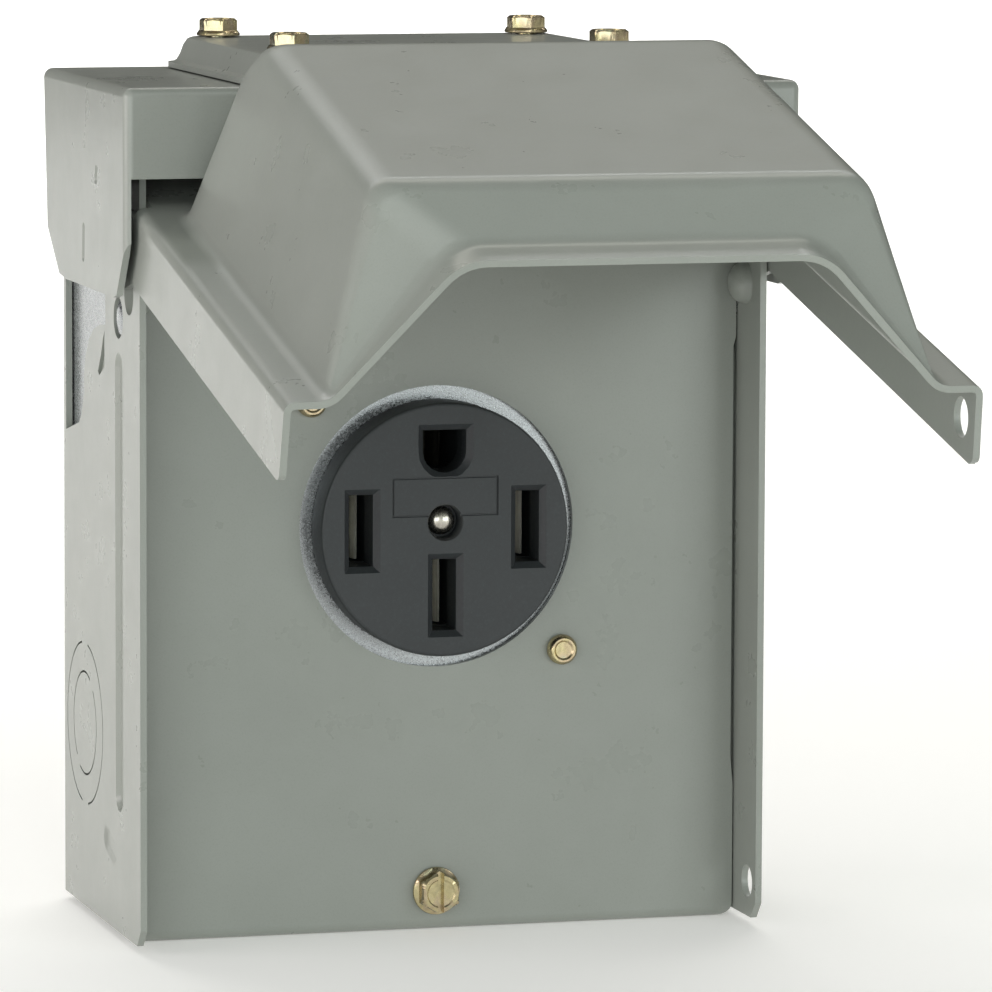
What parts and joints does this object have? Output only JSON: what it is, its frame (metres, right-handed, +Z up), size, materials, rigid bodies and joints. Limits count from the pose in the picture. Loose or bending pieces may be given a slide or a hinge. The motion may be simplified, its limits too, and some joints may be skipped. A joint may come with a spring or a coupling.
{
  "type": "outdoor power outlet box",
  "caption": "Wall-mounted grey sheet-steel outdoor power box with a rain cap, a lift-up hood and a round flush receptacle behind a dead-front panel.",
  "frame": {"origin": "on the back face, midway between the side walls and 90 mm above the bottom edge of the side walls", "axes": "+Z up; -Y out of the front (the receptacle faces -Y, the back plate faces +Y); +X to the viewer's right when facing the receptacle"},
  "size_m": [0.1456, 0.2097, 0.1924],
  "materials": {
    "grey_paint": "semi-gloss grey-green baked enamel on steel",
    "galvanised_steel": "hot-dip galvanised, dull spangle",
    "yellow_zinc": "yellow zinc chromate on steel",
    "black_thermoset": "matte moulded black",
    "brass": "plain spring brass",
    "tinned_aluminium": "tin-plated",
    "steel": "bright zinc-plated steel",
    "green_steel": "green-dyed zinc plate"
  },
  "bodies": {
    "box": {"enclosure_body": "grey_paint", "bottom_end_plate": "grey_paint", "hinge_bracket_left": "galvanised_steel", "hinge_bracket_right": "galvanised_steel", "dead_front_panel": "grey_paint", "rain_cap": "grey_paint", "hub_closing_plate": "grey_paint", "hub_screw_front_left": "yellow_zinc", "hub_screw_front_right": "yellow_zinc", "hub_screw_rear_left": "yellow_zinc", "hub_screw_rear_right": "yellow_zinc", "cover_screw": "yellow_zinc", "pivot_rivet_left": "galvanised_steel", "pivot_rivet_right": "galvanised_steel", "receptacle_face": "black_thermoset", "mounting_strap": "galvanised_steel", "receptacle_rear_housing": "black_thermoset", "receptacle_centre_screw": "steel", "strap_screw_upper_left": "yellow_zinc", "strap_screw_lower_right": "yellow_zinc", "contact_hot_left": "brass", "terminal_lug_hot_left": "tinned_aluminium", "terminal_screw_hot_left": "steel", "contact_hot_right": "brass", "terminal_lug_hot_right": "tinned_aluminium", "terminal_screw_hot_right": "steel", "contact_neutral": "brass", "terminal_lug_neutral": "tinned_aluminium", "terminal_screw_neutral": "steel", "contact_ground": "brass", "terminal_lug_ground": "tinned_aluminium", "terminal_screw_ground": "steel", "enclosure_ground_lug": "tinned_aluminium", "ground_lug_screw": "green_steel"},
    "hood": {"hood": "grey_paint"}
  },
  "joints": [
    {"name": "hood_hinge", "type": "hinge", "parent": "box", "child": "hood", "pos_m": [0, -0.0627, 0.0529], "axis": [1, 0, 0], "range_deg": [-4, 77.7]}
  ]
}
